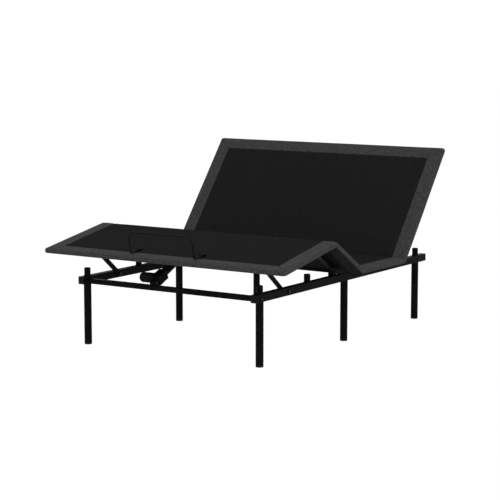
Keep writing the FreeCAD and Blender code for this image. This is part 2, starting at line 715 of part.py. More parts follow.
def both_actuators():
    rear = base.multVec(FreeCAD.Vector(0, -D["actuator_rear_offset"], D["actuator_rear_height"]))
    front = thigh.multVec(FreeCAD.Vector(0, -D["thigh_arm_reach"], -D["thigh_arm_drop"]))
    frames = actuator_frames(rear, front, -D["actuator_offset"], False)
    actuator("foot", *frames)
    rear = base.multVec(FreeCAD.Vector(0, head_leg + D["crossbar_outset"], D["actuator_rear_height"]))
    front = head.multVec(FreeCAD.Vector(0, D["head_arm_reach"], -D["head_arm_drop"]))
    frames = actuator_frames(rear, front, D["actuator_offset"], True)
    actuator("head", *frames)
    pins = [
        actuator_pin("-actuator_offset", "-actuator_rear_offset", "actuator_rear_height"),
        actuator_pin("actuator_offset", CROSSBAR_LINES["head"], "actuator_rear_height"),
    ]
    node("actuator_rear_pins", group(*pins), base)


def control_box():
    """Motor control unit under the seat board, with three sockets in its foot side."""
    size = ("200", "130", "38")
    edge_radius = 6.0
    top = "fold_depth - (%s)" % BOARD_BOTTOM
    corner = ("-100", "seat_length / 2 - 65", top + " - 38")
    casing = box(size, corner)
    rounded = doc.addObject("Part::Fillet", "Rounded")
    rounded.Base = casing
    doc.recompute()
    rounded.Edges = [(number + 1, edge_radius, edge_radius) for number in range(len(casing.Shape.Edges))]
    sockets = []
    for offset in (-60, 0, 60):
        corner = (offset - 9, "seat_length / 2 - 66", top + " - 26")
        sockets.append(box(("18", "9", "12"), corner))
    node("control_box", cut(rounded, *sockets), seat)


# Mattress retainer bar on the calf section.

RETAINER_GAP = 1.0


def retainer_bar():
    rod = D["retainer_rod"]
    half = D["retainer_width"] / 2
    deck_top = D["knee_depth"]
    low = deck_top + RETAINER_GAP + rod / 2
    high = deck_top + D["retainer_height"] - rod / 2
    upright = -D["calf_length"] + D["retainer_from_foot_edge"]
    back = upright + D["retainer_foot_length"]
    corner = D["retainer_corner"]
    bend = 14.0
    points = [
        (-half, back, low), (-half, upright, low), (-half, upright, high),
        (half, upright, high), (half, upright, low), (half, back, low),
    ]
    radii = [bend, corner, corner, bend]
    vectors = [FreeCAD.Vector(*point) for point in points]
    edges = []
    last = vectors[0]
    for index, radius in enumerate(radii, start=1):
        arriving = (vectors[index] - vectors[index - 1]).normalize()
        leaving = (vectors[index + 1] - vectors[index]).normalize()
        start = vectors[index] - arriving * radius
        end = vectors[index] + leaving * radius
        centre = start + leaving * radius
        middle = centre - (leaving - arriving).normalize() * radius
        edges.append(Part.LineSegment(last, start).toShape())
        edges.append(Part.Arc(start, middle, end).toShape())
        last = end
    edges.append(Part.LineSegment(last, vectors[-1]).toShape())
    path = Part.Wire(edges)
    section = Part.Wire([Part.Circle(vectors[0], Y_AXIS, rod / 2).toShape()])
    bar = doc.addObject("Part::Feature", "RetainerBar")
    bar.Shape = path.makePipeShell([section], True, True)
    node("retainer_bar", bar, calf)


def retainer_fixings():
    back = "-calf_length + retainer_from_foot_edge + retainer_foot_length"
    clips = []
    screws = []
    for sign in SIDES.values():
        centre = "%d * retainer_width / 2" % sign
        clip = box(("30", "16", "retainer_rod + 3"), (centre + " - 15", back + " - 22", "knee_depth + 0.3"))
        grip_spot = (centre, back + " - 30", "knee_depth + 1 + retainer_rod / 2")
        grip = cylinder("y", "retainer_rod + 0.1", "30", grip_spot)
        mouth = box(("retainer_rod + 0.1", "30", "retainer_rod / 2 + 2"),
                    (centre + " - retainer_rod / 2 - 0.05", back + " - 30", "knee_depth - 1"))
        holes = []
        for offset in (-10, 10):
            spot = ("%s + %d" % (centre, offset), back + " - 14", "knee_depth + 0.3")
            holes.append(cylinder("z", "4.1", "30", spot))
            shank = cylinder("z", "4", "retainer_rod + 3", spot)
            cap_spot = (spot[0], spot[1], "knee_depth + 0.3 + retainer_rod + 3")
            screws.append(fuse(shank, cylinder("z", "8", "2", cap_spot)))
        clips.append(cut(clip, grip, mouth, *holes))
    node("retainer_clips", group(*clips), calf)
    node("retainer_screws", group(*screws), calf)


for side_name, side_sign in SIDES.items():
    side_rail(side_name, side_sign)
    rest_posts(side_name, side_sign)
    support_strut(side_name, side_sign)
    for leg_name, leg_line in LEG_NAMES.items():
        leg(leg_name, leg_line, side_name, side_sign)
rail_end_caps()
post_caps()
leg_sets()
crossbar("foot")
crossbar("head")
frame_bolts()
seat_brackets()
seat_section()
head_section()
thigh_section()
calf_section()
both_actuators()
control_box()
retainer_bar()
retainer_fixings()

doc.recompute()
for obj in doc.Objects:
    if "Invalid" in obj.State or "Error" in obj.State:
        raise RuntimeError("%s (%s) failed: %s" % (obj.Label, obj.Name, obj.State))
for part in parts:
    if part.Shape.isNull() or not part.Shape.isValid():
        raise RuntimeError(part.Label + " has no valid shape")

os.makedirs("parts", exist_ok=True)
for part in parts:
    part.Shape.exportStep("parts/%s.step" % part.Label)
print("%d nodes" % len(parts))
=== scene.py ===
"""Adjustable bed base: upholstery, finishes, small hardware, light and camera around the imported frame."""

import json
import math

import bmesh
import bpy
import numpy as np
from mathutils import Matrix, Vector


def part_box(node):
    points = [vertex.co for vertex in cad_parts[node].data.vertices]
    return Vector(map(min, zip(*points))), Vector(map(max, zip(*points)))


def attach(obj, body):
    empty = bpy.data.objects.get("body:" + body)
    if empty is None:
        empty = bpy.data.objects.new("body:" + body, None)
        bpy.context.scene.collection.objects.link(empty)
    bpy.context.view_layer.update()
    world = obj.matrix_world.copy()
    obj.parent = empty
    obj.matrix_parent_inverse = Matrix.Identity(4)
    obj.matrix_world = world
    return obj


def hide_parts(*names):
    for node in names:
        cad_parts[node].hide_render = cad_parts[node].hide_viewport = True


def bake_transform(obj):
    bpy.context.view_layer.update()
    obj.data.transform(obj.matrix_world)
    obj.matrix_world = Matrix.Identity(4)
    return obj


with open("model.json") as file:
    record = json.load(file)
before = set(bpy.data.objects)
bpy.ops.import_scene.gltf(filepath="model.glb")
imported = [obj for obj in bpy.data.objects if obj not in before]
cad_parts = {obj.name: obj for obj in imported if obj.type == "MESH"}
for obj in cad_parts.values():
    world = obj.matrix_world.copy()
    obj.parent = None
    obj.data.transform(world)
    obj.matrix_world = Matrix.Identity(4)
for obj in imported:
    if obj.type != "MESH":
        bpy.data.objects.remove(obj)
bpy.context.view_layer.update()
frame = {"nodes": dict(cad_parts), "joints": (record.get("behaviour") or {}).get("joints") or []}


JOINTS = {joint["name"]: joint for joint in frame["joints"]}


def stored_angle(name):
    """Angle that a joint has turned from flat to the rest pose, in radians."""
    return math.radians(-JOINTS[name]["range_deg"][0])


def pivot(name):
    return Vector(JOINTS[name]["pos_m"])


HEAD_ANGLE = stored_angle("head_lift")
THIGH_ANGLE = stored_angle("leg_lift")
KNEE_ANGLE = stored_angle("knee_fold")
HEAD_PIVOT = pivot("head_lift")
THIGH_PIVOT = pivot("leg_lift")
KNEE_PIVOT = pivot("knee_fold")

# ---------------------------------------------------------------- materials


class Finish:
    """A procedural material around one Principled shader."""

    def __init__(self, name, colour, **surface):
        self.material = bpy.data.materials.new(name)
        self.material.use_nodes = True
        self.tree = self.material.node_tree
        self.shader = self.tree.nodes["Principled BSDF"]
        self.set("Base Color", (*colour, 1.0))
        for socket, value in surface.items():
            self.set(socket.replace("_", " "), value)

    def set(self, socket, value):
        self.shader.inputs[socket].default_value = value

    def feed(self, socket, source):
        self.tree.links.new(source, self.shader.inputs[socket])

    def add(self, kind, inputs=(), **settings):
        new = self.tree.nodes.new(kind)
        for key, value in settings.items():
            setattr(new, key, value)
        for key, value in dict(inputs).items():
            if isinstance(value, bpy.types.NodeSocket):
                self.tree.links.new(value, new.inputs[key])
            else:
                new.inputs[key].default_value = value
        return new

    def math(self, operation, first, second=0.0, third=0.0):
        inputs = {0: first, 1: second, 2: third}
        return self.add("ShaderNodeMath", inputs, operation=operation).outputs[0]

    def times(self, first, second):
        return self.math("MULTIPLY", first, second)

    def split(self, vector):
        return self.add("ShaderNodeSeparateXYZ", {0: vector}).outputs

    def choose(self, factor, off, on):
        return self.add("ShaderNodeMix", {"Factor": factor, 2: off, 3: on}, data_type="FLOAT").outputs[0]

    def rounded(self, radius):
        """Normal that rounds the edges off over a radius."""
        return self.add("ShaderNodeBevel", {"Radius": radius}, samples=6).outputs[0]

    def mix(self, factor, dark, light):
        inputs = {"Factor": factor, 6: self.rgba(dark), 7: self.rgba(light)}
        return self.add("ShaderNodeMix", inputs, data_type="RGBA").outputs[2]

    @staticmethod
    def rgba(colour):
        return colour if isinstance(colour, bpy.types.NodeSocket) else (*colour, 1.0)

    def noise(self, vector, scale, detail=2.0, roughness=0.5):
        inputs = {"Vector": vector, "Scale": scale, "Detail": detail, "Roughness": roughness}
        return self.add("ShaderNodeTexNoise", inputs).outputs["Fac"]

    def span(self, value, low, high, to_low=0.0, to_high=1.0):
        inputs = {"Value": value, "From Min": low, "From Max": high, "To Min": to_low, "To Max": to_high}
        return self.add("ShaderNodeMapRange", inputs).outputs[0]

    def vector(self, x, y, z=0.0):
        return self.add("ShaderNodeCombineXYZ", {0: x, 1: y, 2: z}).outputs[0]

    def place(self):
        return self.add("ShaderNodeTexCoord").outputs["Object"]

    def bump(self, height, distance, strength=1.0, normal=None):
        inputs = {"Height": height, "Distance": distance, "Strength": strength}
        if normal is not None:
            inputs["Normal"] = normal
        self.feed("Normal", self.add("ShaderNodeBump", inputs).outputs[0])


# Share of the cloth's tone that comes from its slow slubs; the rest comes from single threads.
SLUB_SHARE = 0.16


def woven(name, pitch, dark, light, depth, contrast, **surface):
    """Plain-weave cloth laid out by the cloth's own flat coordinates, with streaky threads."""
    cloth = Finish(name, light, **surface)
    flat = cloth.add("ShaderNodeUVMap", uv_map="Weave").outputs[0]
    split = cloth.split(flat)
    u = cloth.times(split[0], 1.0 / pitch)
    v = cloth.times(split[1], 1.0 / pitch)
    column = cloth.math("FLOOR", u)
    row = cloth.math("FLOOR", v)
    over = cloth.math("PINGPONG", cloth.math("ADD", column, row), 1.0)
    warp = cloth.math("ABSOLUTE", cloth.math("SINE", cloth.times(u, math.pi)))
    weft = cloth.math("ABSOLUTE", cloth.math("SINE", cloth.times(v, math.pi)))
    warp_top = cloth.times(warp, cloth.math("MULTIPLY_ADD", weft, 0.5, 0.5))
    weft_top = cloth.times(weft, cloth.math("MULTIPLY_ADD", warp, 0.5, 0.5))
    height = cloth.choose(over, weft_top, warp_top)
    warp_streak = cloth.noise(cloth.vector(cloth.times(column, 7.31), v), 0.06)
    weft_streak = cloth.noise(cloth.vector(u, cloth.times(row, 5.17), 9.0), 0.06)
    streak = cloth.choose(over, weft_streak, warp_streak)
    fleck = cloth.span(streak, 0.5 - contrast, 0.5 + contrast)
    slub = cloth.noise(flat, 34.0, 4.0, 0.6)
    slow = cloth.span(slub, 0.3, 0.7)
    tone = cloth.math("MULTIPLY_ADD", slow, SLUB_SHARE, cloth.times(fleck, 1 - SLUB_SHARE))
    yarn = cloth.mix(tone, dark, light)
    # Painted shade: the yarn's colour is darkened where the threads dip between each other.
    shade = cloth.span(height, 0.0, 0.7, 0.45, 1.0)
    thread_gap_shade = cloth.add("ShaderNodeCombineColor", {0: shade, 1: shade, 2: shade}).outputs[0]
    inputs = {"Factor": 1.0, 6: yarn, 7: thread_gap_shade}
    shaded = cloth.add("ShaderNodeMix", inputs, data_type="RGBA", blend_type="MULTIPLY")
    cloth.feed("Base Color", shaded.outputs[2])
    cloth.feed("Roughness", cloth.span(slub, 0.3, 0.7, 0.8, 0.95))
    cloth.bump(height, depth)
    return cloth.material


PAINT_SPECULAR = 0.015
PAINT_EDGE = 0.0012
RUBBED_GREY = (0.16, 0.16, 0.165)


def coated(name, dark, light, rough, wear, grain=900.0):
    """Powder-coated or moulded surface: fine orange peel, softened edges and slight rubbing along them."""
    paint = Finish(name, light, Specular_IOR_Level=PAINT_SPECULAR)
    spot = paint.place()
    peel = paint.noise(spot, grain, 3.0, 0.55)
    cloud = paint.noise(spot, 9.0, 4.0, 0.6)
    soft = paint.rounded(PAINT_EDGE)
    true = paint.add("ShaderNodeNewGeometry").outputs["Normal"]
    facing = paint.add("ShaderNodeVectorMath", {0: soft, 1: true}, operation="DOT_PRODUCT").outputs["Value"]
    edge = paint.span(facing, 0.995, 0.86)
    rubbed = paint.times(edge, paint.span(paint.noise(spot, 60.0, 5.0, 0.65), 0.48, 0.68))
    body = paint.mix(paint.span(cloud, 0.3, 0.7), dark, light)
    paint.feed("Base Color", paint.mix(paint.times(rubbed, wear), body, RUBBED_GREY))
    spread = paint.span(cloud, 0.3, 0.7, rough - 0.05, rough + 0.06)
    paint.feed("Roughness", paint.math("MULTIPLY_ADD", rubbed, -0.12, spread))
    paint.bump(peel, 0.00006, 0.6, soft)
    return paint.material


STEEL_EDGE = 0.0006


def bare(name, dark, light, rough, axis):
    """Machined or plated steel with fine lines along one axis."""
    steel = Finish(name, light, Metallic=1.0, Anisotropic=0.35)
    spot = steel.place()
    scales = [2600.0, 2600.0, 2600.0]
    scales[axis] = 60.0
    sockets = [steel.times(part, scale) for part, scale in zip(steel.split(spot), scales)]
    lines = steel.noise(steel.vector(*sockets), 1.0, 2.0)
    cloud = steel.noise(spot, 70.0, 4.0, 0.6)
    steel.feed("Base Color", steel.mix(steel.span(cloud, 0.3, 0.75), dark, light))
    steel.feed("Roughness", steel.span(lines, 0.3, 0.7, rough - 0.07, rough + 0.09))
    steel.bump(lines, 0.00002, 0.5, steel.rounded(STEEL_EDGE))
    return steel.material


def plywood():
    wood = Finish("plywood", (0.42, 0.27, 0.14), Roughness=0.6)
    split = wood.split(wood.place())
    grain = wood.noise(wood.vector(wood.times(split[0], 3.0), wood.times(split[1], 90.0)), 1.0, 6.0, 0.6)
    plies = wood.math("PINGPONG", wood.times(split[2], 700.0), 1.0)
    wood.feed("Base Color", wood.mix(wood.span(grain, 0.3, 0.7), (0.30, 0.18, 0.09), (0.52, 0.36, 0.20)))
    wood.feed("Roughness", wood.span(plies, 0.0, 1.0, 0.5, 0.7))
    wood.bump(grain, 0.0002)
    return wood.material


def nonwoven(name, dark, light):
    """Black spun-bonded dust cloth with its grid of pressed dots."""
    cloth = Finish(name, light, Specular_IOR_Level=0.01)
    flat = cloth.add("ShaderNodeUVMap", uv_map="Weave").outputs[0]
    inputs = {"Vector": flat, "Scale": 620.0, "Randomness": 0.15}
    dots = cloth.add("ShaderNodeTexVoronoi", inputs).outputs["Distance"]
    fibres = cloth.noise(flat, 900.0, 5.0, 0.7)
    cloud = cloth.noise(flat, 11.0, 4.0, 0.6)
    pressed = cloth.span(dots, 0.12, 0.32)
    tone = cloth.math("MULTIPLY_ADD", fibres, 0.6, cloth.times(cloud, 0.4))
    cloth.feed("Base Color", cloth.mix(tone, dark, light))
    cloth.feed("Roughness", cloth.span(pressed, 0.0, 1.0, 0.55, 0.85))
    cloth.bump(cloth.math("MULTIPLY_ADD", fibres, 0.3, pressed), 0.00015, 0.7)
    return cloth.material


# Colours run from dark to light; coated finishes then give roughness and edge wear, bare ones
# roughness and the axis of the lines (0 is X, 1 is Y).
BAND = woven("band_linen", 0.00105, (0.015, 0.0153, 0.0158), (0.073, 0.0735, 0.075), 0.00022, 0.16,
             Sheen_Weight=0.015, Sheen_Roughness=0.4, Specular_IOR_Level=0.03)
# Painted shade: a darker copy of the band's linen for the wrapped underside of the roll.
SHADED_BAND = woven("band_linen_painted_shade", 0.00105, (0.006, 0.0061, 0.0063), (0.027, 0.0272, 0.0277), 0.00022, 0.16,
              Sheen_Weight=0.0, Sheen_Roughness=0.4, Specular_IOR_Level=0.0)
CENTRE = woven("centre_cloth", 0.0007, (0.0055, 0.0055, 0.0058), (0.0195, 0.0195, 0.0200), 0.00012, 0.2,
               Sheen_Weight=0.002, Sheen_Roughness=0.4, Specular_IOR_Level=0.005)
DUST = nonwoven("dust_cloth", (0.003, 0.003, 0.0033), (0.0085, 0.0085, 0.009))
THREAD = woven("thread", 0.0004, (0.02, 0.02, 0.021), (0.07, 0.07, 0.073), 0.0001, 0.2, Sheen_Weight=0.15)
FRAME_STEEL = coated("frame_powder_coat", (0.0027, 0.0027, 0.0029), (0.0048, 0.0048, 0.0051), 0.40, 0.25)
RETAINER = coated("retainer_powder_coat", (0.005, 0.005, 0.0055), (0.009, 0.009, 0.0095), 0.36, 0.2)
PLASTIC = coated("moulded_plastic", (0.006, 0.006, 0.0065), (0.011, 0.011, 0.0115), 0.52, 0.1, grain=420.0)
GEARBOX = coated("gearbox_plastic", (0.003, 0.003, 0.0032), (0.006, 0.006, 0.0064), 0.48, 0.12, grain=500.0)
HOUSING = coated("housing_plastic", (0.010, 0.010, 0.0105), (0.017, 0.017, 0.018), 0.55, 0.1, grain=380.0)
MOTOR = coated("motor_enamel", (0.005, 0.005, 0.0052), (0.010, 0.010, 0.0105), 0.34, 0.3)
TUBE = coated("actuator_tube_paint", (0.003, 0.003, 0.0032), (0.006, 0.006, 0.0063), 0.33, 0.22)
RUBBER = coated("glide_rubber", (0.006, 0.006, 0.006), (0.012, 0.012, 0.012), 0.75, 0.05, grain=300.0)
ROD = bare("rod_chrome", (0.52, 0.52, 0.53), (0.68, 0.68, 0.69), 0.2, 1)
CLIP = coated("clip_plastic", (0.003, 0.003, 0.0033), (0.006, 0.006, 0.0063), 0.5, 0.1, grain=500.0)
OXIDE = bare("black_oxide", (0.012, 0.012, 0.0125), (0.024, 0.024, 0.0245), 0.42, 0)
DULL = bare("dull_cap", (0.07, 0.07, 0.072), (0.11, 0.11, 0.113), 0.45, 0)
WOOD = plywood()

SLOT_FINISH = {
    "upholstery": BAND,
    "deck_panel": WOOD,
    "black_plastic": PLASTIC,
    "electronics_housing": HOUSING,
    "gearbox_housing": GEARBOX,
    "motor_can": MOTOR,
    "actuator_tube": TUBE,
    "rod_steel": ROD,
    "fasteners": OXIDE,
    "retainer_steel": RETAINER,
    "frame_steel": FRAME_STEEL,
}
# Nodes that differ from the rest of their slot.
NODE_FINISH = {
    "leg_glides": RUBBER,
    "retainer_clips": CLIP,
    "retainer_screws": CLIP,
}
for name, obj in frame["nodes"].items():
    for holder in obj.material_slots:
        holder.material = NODE_FINISH.get(name) or SLOT_FINISH[holder.material.name.split(".")[0]]

# ---------------------------------------------------------------- flat deck and its folds

DECK_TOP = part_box("seat_cover")[1].z
HALF_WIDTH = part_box("seat_cover")[1].x
# Width of the border along the sides and across the ends.
SIDE_BAND = 0.082
END_BAND = 0.074
# Depth of the fold axes below the deck's top.
KNEE_DEPTH = 0.022
FOLD_DEPTH = DECK_TOP - HEAD_PIVOT.z
KNEE_OFFSET = KNEE_PIVOT - THIGH_PIVOT
THIGH_LENGTH = math.sqrt(KNEE_OFFSET.y**2 + KNEE_OFFSET.z**2 - (KNEE_DEPTH - FOLD_DEPTH) ** 2)
KNEE_FLAT = (THIGH_PIVOT.y - THIGH_LENGTH, DECK_TOP - KNEE_DEPTH)


def flat_length(node, origin, angle, sign):
    """Distance from a fold to the far edge of a section, measured along the section."""
    along = Vector((0.0, sign * math.cos(angle), sign * math.sin(angle)))
    data = frame["nodes"][node].data
    return max((vertex.co - origin).dot(along) for vertex in data.vertices)


HEAD_END = HEAD_PIVOT.y + flat_length("head_cover", HEAD_PIVOT, HEAD_ANGLE, 1)
FOOT_END = KNEE_FLAT[0] - flat_length("calf_cover", KNEE_PIVOT, KNEE_ANGLE - THIGH_ANGLE, -1)
SEAT_MIDDLE = (HEAD_PIVOT.y + THIGH_PIVOT.y) / 2
THIGH_MIDDLE = THIGH_PIVOT.y - THIGH_LENGTH / 2


def turned(points, about, angles):
    """Points (y, z) turned about an X axis, each by its own angle."""
    offset = points - about
    cosine, sine = np.cos(angles), np.sin(angles)
    y = offset[:, 0] * cosine - offset[:, 1] * sine
    z = offset[:, 0] * sine + offset[:, 1] * cosine
    return np.stack([y, z], axis=1) + about


class Fold:
    """A fold between two bodies: it takes flat points to the rest pose and says where the blend lies."""

    def __init__(self, first, second, about, toward, angle, reach, carried=0.0):
        self.bodies = (first, second)
        self.about = np.array(about)
        self.angle = angle
        self.reach = reach
        self.carried = carried
        half = angle / 2
        self.along = np.array([toward * math.cos(half), toward * math.sin(half)])

    def share(self, points):
        low_share = np.zeros(len(points))
        high_share = np.ones(len(points))
        for _ in range(30):
            middle = (low_share + high_share) / 2
            moved = turned(points, self.about, middle * self.angle) - self.about
            t = np.clip((moved @ self.along + self.reach) / (2 * self.reach), 0.0, 1.0)
            beyond = middle > t * t * (3 - 2 * t)
            high_share = np.where(beyond, middle, high_share)
            low_share = np.where(beyond, low_share, middle)
        return (low_share + high_share) / 2

    def to_rest(self, points):
        bent = turned(points, self.about, self.share(points) * self.angle)
        return turned(bent, self.base_pivot(), np.full(len(points), self.carried))

    @staticmethod
    def base_pivot():
        return np.array([THIGH_PIVOT.y, THIGH_PIVOT.z])

    def planes(self):
        ends = np.array([self.about - self.along * self.reach, self.about + self.along * self.reach])
        ends = turned(ends, self.base_pivot(), np.full(2, self.carried))
        return [(0.0, float(end[0]), float(end[1])) for end in ends]


FOLDS = {
    "head": Fold("base", "head", (HEAD_PIVOT.y, HEAD_PIVOT.z), 1, HEAD_ANGLE, 0.014),
    "thigh": Fold("base", "thigh", (THIGH_PIVOT.y, THIGH_PIVOT.z), -1, -THIGH_ANGLE, 0.012),
    "knee": Fold("thigh", "calf", KNEE_FLAT, -1, KNEE_ANGLE, 0.016, -THIGH_ANGLE),
}
FOLD_SPOTS = {"head": HEAD_PIVOT.y, "thigh": THIGH_PIVOT.y, "knee": KNEE_FLAT[0]}

# ---------------------------------------------------------------- upholstery

CORNER = 0.014
MM = 0.001
# Cross-section of the border roll: inset from the deck's edge and depth below its top, in mm. The first
# and last points lie hidden at the seam, as do the ones next to them.
BORDER = [
    (83.6, 7.0), (83.2, 4.6), (82.6, 2.7), (81.6, 1.3), (79.8, 0.45), (76.5, 0.1), (70.0, -0.25),
    (60.0, -0.6), (46.0, -0.8), (32.0, -0.7), (20.0, -0.4), (12.0, 0.0), (7.6, 0.9), (4.6, 2.3),
    (2.3, 4.3), (0.8, 7.2), (0.1, 11.0), (0.0, 15.8), (0.6, 20.2), (2.0, 23.4), (4.4, 25.6), (8.0, 26.7),
    (14.0, 27.0), (28.0, 26.9), (45.0, 26.8), (62.0, 26.8), (74.0, 26.9), (79.5, 26.4), (82.6, 24.4),
    (83.6, 21.0), (83.8, 14.0),
]
EXPOSED = range(4, 28)
OUTERMOST = 16
UNDERSIDE = 20
# Material number of each strip of the roll: 0 on the top and outside, 1 on the wrapped underside, whose
# darker copy of the band's cloth is painted shade.
BORDER_FINISH = [int(number >= UNDERSIDE) for number in range(len(BORDER))]
# Stations close to a mitre, in mm, and how far from it the even ones begin.
SEAM_NEAR = [0.0, 0.5, 1.0, 1.6, 2.3, 3.2, 4.5, 6.8, 10.0, 15.0, 24.0]
TRANSITION = 0.15
# Stitched groove along each mitre, and the slow swell of the cloth beyond it.
GROOVE = 2.6 * MM
GROOVE_WIDTH = 1.9 * MM
SWELL = 0.45 * MM
SWELL_FADE = 0.04
MITRE_SQUARE = 0.02
STITCH_INSET = 74.5 * MM
STITCH_STEP = 6.2 * MM
STITCH_LENGTH = 4.4 * MM
STITCH_RADIUS = 0.42 * MM
# Stations round a fold, in mm from it.
FOLD_NEAR = [0, 2, 4, 6, 8, 10.5, 13, 16, 19.5, 24, 30, 38, 48, 60]


def end_inset(inset):
    """Inset across an end that meets a side's inset on the mitre."""
    if inset <= CORNER:
        return inset
    return CORNER + (inset - CORNER) * (END_BAND - CORNER) / (SIDE_BAND - CORNER)


def spaced(start, stop, step, spots=()):
    """Even stations from start to stop, with close ones round the folds."""
    count = max(2, int(round(abs(stop - start) / step)) + 1)
    values = list(np.linspace(start, stop, count))
    for spot in spots:
        if min(start, stop) < spot < max(start, stop):
            values = [value for value in values if abs(value - spot) > 0.062]
            values += list(spot + np.array([-near for near in FOLD_NEAR[:0:-1]] + FOLD_NEAR) * MM)
    return sorted(values, reverse=stop < start)


def ripple(x, s):
    """Slow unevenness of stretched cloth over foam, at most about 1."""
    return (
        np.sin(9.1 * s + 2.3 * x + 0.7)
        + 0.7 * np.sin(17.0 * s - 5.2 * x + 2.1)
        + 0.5 * np.sin(31.0 * s + 11.0 * x + 4.4)
        + 0.4 * np.sin(23.0 * x - 3.0 * s + 1.2)
    ) / 2.6


def profile_normals():
    """Outward normals of the border's cross-section, as (inset, depth) pairs."""
    points = np.array(BORDER)
    tangent = np.roll(points, -1, axis=0) - np.roll(points, 1, axis=0)
    normal = np.stack([tangent[:, 1], -tangent[:, 0]], axis=1)
    normal /= np.linalg.norm(normal, axis=1)[:, None]
    if normal[OUTERMOST][0] > 0:
        normal = -normal
    return normal


BORDER_NORMALS = profile_normals()
BORDER_STEPS = np.linalg.norm(np.diff(np.array(BORDER), axis=0), axis=1)
BORDER_RUN = np.concatenate([[0.0], np.cumsum(BORDER_STEPS)]) * MM


class Rim:
    """Plan of the border round one end of the deck, or along both its sides only."""

    def __init__(self, cut, end, free):
        self.cut = cut
        self.end = end
        self.free = free
        self.out = 1 if end > cut else -1
        self.length = abs(end - cut)

    def lengths(self, inset, side):
        round_off = max(CORNER - inset, 0.0)
        arc = round_off * math.pi / 4
        if side:
            return self.length - max(end_inset(inset), CORNER) + arc, arc, round_off
        return HALF_WIDTH - max(inset, CORNER) + arc, arc, round_off

    def point(self, inset, side, back):
        """Plan position (x, s) at a distance back from the mitre."""
        total, arc, round_off = self.lengths(inset, side)
        if back < arc:
            angle = math.pi / 4 + (-back if side else back) / round_off
            x = HALF_WIDTH - CORNER + round_off * math.cos(angle)
            o = self.length - CORNER + round_off * math.sin(angle)
        elif side:
            x = HALF_WIDTH - inset
            o = total - back
        else:
            x = total - back
            o = self.length - end_inset(inset)
        return x, self.cut + self.out * o

    def backs(self, inset, side, stations):
        """Distances back from the mitre of one line of the border, furthest first."""
        total = self.lengths(inset, side)[0]
        far = total - (self.length if side else HALF_WIDTH) + TRANSITION
        run = [total - station for station in stations]
        near = [value * MM for value in SEAM_NEAR]
        shares = np.linspace(0.0, 1.0, 7)[1:-1]
        joined = [far + (near[-1] - far) * share for share in shares]
        return run + joined + near[::-1]


def placed(name, data):
    obj = bpy.data.objects.new(name, data)
    bpy.context.scene.collection.objects.link(obj)
    return obj


def smooth(work, sharp):
    """Faces turned outward and shaded smooth, but for edges sharper than an angle in degrees."""
    bmesh.ops.recalc_face_normals(work, faces=work.faces)
    for edge in work.edges:
        edge.smooth = len(edge.link_faces) == 2 and edge.calc_face_angle(0.0) < math.radians(sharp)
    for face in work.faces:
        face.smooth = True


def finish_mesh(name, vertices, faces, uvs, materials, indices, sharp):
    mesh = bpy.data.meshes.new(name)
    mesh.from_pydata([tuple(map(float, vertex)) for vertex in vertices], [], faces)
    layer = mesh.uv_layers.new(name="Weave")
    flat = [uv for face_uvs in uvs for uv in face_uvs]
    layer.data.foreach_set("uv", np.array(flat, np.float32).ravel())
    for material in materials:
        mesh.materials.append(material)
    mesh.polygons.foreach_set("material_index", indices)
    obj = placed(name, mesh)
    work = bmesh.new()
    work.from_mesh(mesh)
    smooth(work, sharp)
    work.to_mesh(mesh)
    work.free()
    mesh.update()
    return obj


class Cloth:
    """Collects the faces of one upholstery piece in flat deck coordinates."""

    def __init__(self):
        self.flat = []
        self.faces = []
        self.uvs = []
        self.indices = []

    def grid(self, rows, uv_rows, close=False, caps=False, finish=0):
        """Rows of (x, s, depth) joined as quads; close joins the last point of a row to its first."""
        start = len(self.flat)
        width = len(rows[0])
        finishes = finish if isinstance(finish, list) else [finish] * width
        for row in rows:
            self.flat += row
        steps = width if close else width - 1
        for r in range(len(rows) - 1):
            for c in range(steps):
                n = (c + 1) % width
                here, there = start + r * width, start + (r + 1) * width
                self.faces.append([here + c, here + n, there + n, there + c])
                a, d = uv_rows[r][c], uv_rows[r + 1][c]
                if n:
                    b, e = uv_rows[r][n], uv_rows[r + 1][n]
                else:
                    b, e = (a[0], a[1] + 0.007), (d[0], d[1] + 0.007)
                self.uvs.append([a, b, e, d])
                self.indices.append(finishes[c])
        if caps:
            for r in (0, len(rows) - 1):
                self.faces.append([start + r * width + c for c in range(width)])
                self.uvs.append([uv_rows[r][c] for c in range(width)])
                self.indices.append(0)

    def rod(self, centre, along, length, radius):
        """A short round stitch lying on the cloth."""
        ax, ay = along
        rings = [(-0.5, 0.15, 0.5), (-0.32, 0.9, 0.0), (0.0, 1.0, -0.1), (0.32, 0.9, 0.0), (0.5, 0.15, 0.5)]
        rows, uv_rows = [], []
        for offset, scale, sink in rings:
            row, uv_row = [], []
            for k in range(6):
                angle = math.tau * k / 6
                across = math.cos(angle) * radius * scale
                rise = math.sin(angle) * radius * scale - sink * radius
                x = centre[0] + ax * offset * length - ay * across
                s = centre[1] + ay * offset * length + ax * across
                row.append((x, s, centre[2] - rise))
                uv_row.append((offset * length, radius * angle))
            rows.append(row)
            uv_rows.append(uv_row)
        self.grid(rows, uv_rows, close=True, caps=True)

    def build(self, name, fold, materials, sharp=50.0):
        flat = np.array(self.flat)
        points = np.stack([flat[:, 1], DECK_TOP - flat[:, 2]], axis=1)
        rest = fold.to_rest(points)
        vertices = np.stack([flat[:, 0], rest[:, 0], rest[:, 1]], axis=1)
        obj = finish_mesh(name, vertices, self.faces, self.uvs, materials, self.indices, sharp)
        start, end = fold.planes()
        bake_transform(obj)
        return obj


def border_swell(number, x, s):
    return -SWELL * float(ripple(x, s)) if number in EXPOSED else 0.0


